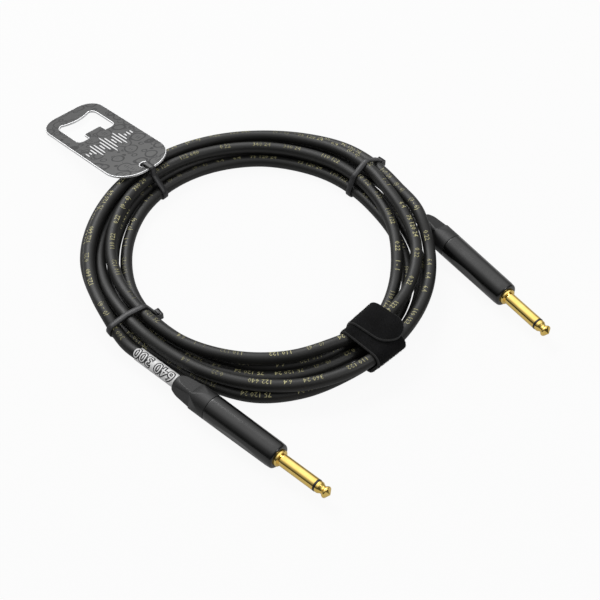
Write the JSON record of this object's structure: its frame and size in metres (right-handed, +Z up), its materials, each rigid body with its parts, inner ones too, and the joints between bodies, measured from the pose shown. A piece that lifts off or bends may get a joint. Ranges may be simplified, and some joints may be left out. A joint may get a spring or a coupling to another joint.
{
  "type": "instrument cable",
  "caption": "Coiled instrument cable with a straight 6.35 mm plug on each end, cable ties, a hook-and-loop strap and a metal tag with a bottle opener window.",
  "frame": {"origin": "centre of the coil, on the table it lies on", "axes": "+Z up from the table; plug A points towards +X and -Y, and plug B more steeply the same way"},
  "size_m": [0.2736, 0.2765, 0.0208],
  "materials": {
    "jacket": "matte extruded PVC",
    "tie_nylon": "moulded nylon",
    "strap_fabric": "hook-and-loop weave",
    "tag_metal": "printed and brushed",
    "plug_gold": "gold plated",
    "insulator_black": "moulded",
    "insulator_ivory": "moulded",
    "tinned_contact": "tinned",
    "shell_black": "satin lacquer",
    "chuck_plastic": "moulded",
    "boot_plastic": "fine matt texture",
    "copper": "bare copper",
    "solder": "bright solder",
    "label_white": "shrunk sleeve"
  },
  "bodies": {
    "root": {"cable_coil": "jacket", "cable_tail_a": "jacket", "cable_tail_b": "jacket", "tie_1": "tie_nylon", "tie_2": "tie_nylon", "tie_3": "tie_nylon", "strap_band": "strap_fabric", "tip_contact_a": "plug_gold", "tip_ring_a": "insulator_black", "finger_sleeve_a": "plug_gold", "rod_liner_a": "insulator_ivory", "contact_carrier_a": "insulator_black", "tip_terminal_a": "tinned_contact", "ground_lug_a": "tinned_contact", "shell_a": "shell_black", "core_insulation_a": "insulator_ivory", "core_conductor_a": "copper", "shield_pigtail_a": "copper", "solder_a": "solder", "label_sleeve_a": "label_white", "tip_contact_b": "plug_gold", "tip_ring_b": "insulator_black", "finger_sleeve_b": "plug_gold", "rod_liner_b": "insulator_ivory", "contact_carrier_b": "insulator_black", "tip_terminal_b": "tinned_contact", "ground_lug_b": "tinned_contact", "shell_b": "shell_black", "core_insulation_b": "insulator_ivory", "core_conductor_b": "copper", "shield_pigtail_b": "copper", "solder_b": "solder", "label_sleeve_b": "label_white"},
    "chuck_a": {"chuck_a": "chuck_plastic"},
    "boot_a": {"boot_a": "boot_plastic"},
    "chuck_b": {"chuck_b": "chuck_plastic"},
    "boot_b": {"boot_b": "boot_plastic"},
    "tag": {"tag": "tag_metal"},
    "strap_tab": {"strap_tab": "strap_fabric"}
  },
  "joints": [
    {"name": "chuck_slide_a", "type": "slide", "parent": "root", "child": "chuck_a", "axis": [-0.7513, 0.66, 0], "range_m": [0, 0.008]},
    {"name": "boot_turn_a", "type": "hinge", "parent": "chuck_a", "child": "boot_a", "pos_m": [-0.03828, -0.08402, 0.007], "axis": [-0.7513, 0.66, 0], "range_deg": [0, 1440]},
    {"name": "chuck_slide_b", "type": "slide", "parent": "root", "child": "chuck_b", "axis": [-0.5976, 0.8018, 0], "range_m": [0, 0.008]},
    {"name": "boot_turn_b", "type": "hinge", "parent": "chuck_b", "child": "boot_b", "pos_m": [0.088, 0.02549, 0.007], "axis": [-0.5976, 0.8018, 0], "range_deg": [0, 1440]},
    {"name": "tag_swing", "type": "hinge", "parent": "root", "child": "tag", "pos_m": [-0.06402, 0.05846, 0.017], "axis": [-0.1314, 0.1533, 0.9794], "range_deg": [-20, 20]},
    {"name": "strap_peel", "type": "hinge", "parent": "root", "child": "strap_tab", "pos_m": [0.05535, -0.04984, 0.0189], "axis": [-0.6691, -0.7431, 0], "range_deg": [0, 75]}
  ],
  "couplings": [
    {"joint": "boot_turn_a", "follows": "chuck_slide_a", "rad_per_m": 3141.5},
    {"joint": "boot_turn_b", "follows": "chuck_slide_b", "rad_per_m": 3141.5}
  ]
}
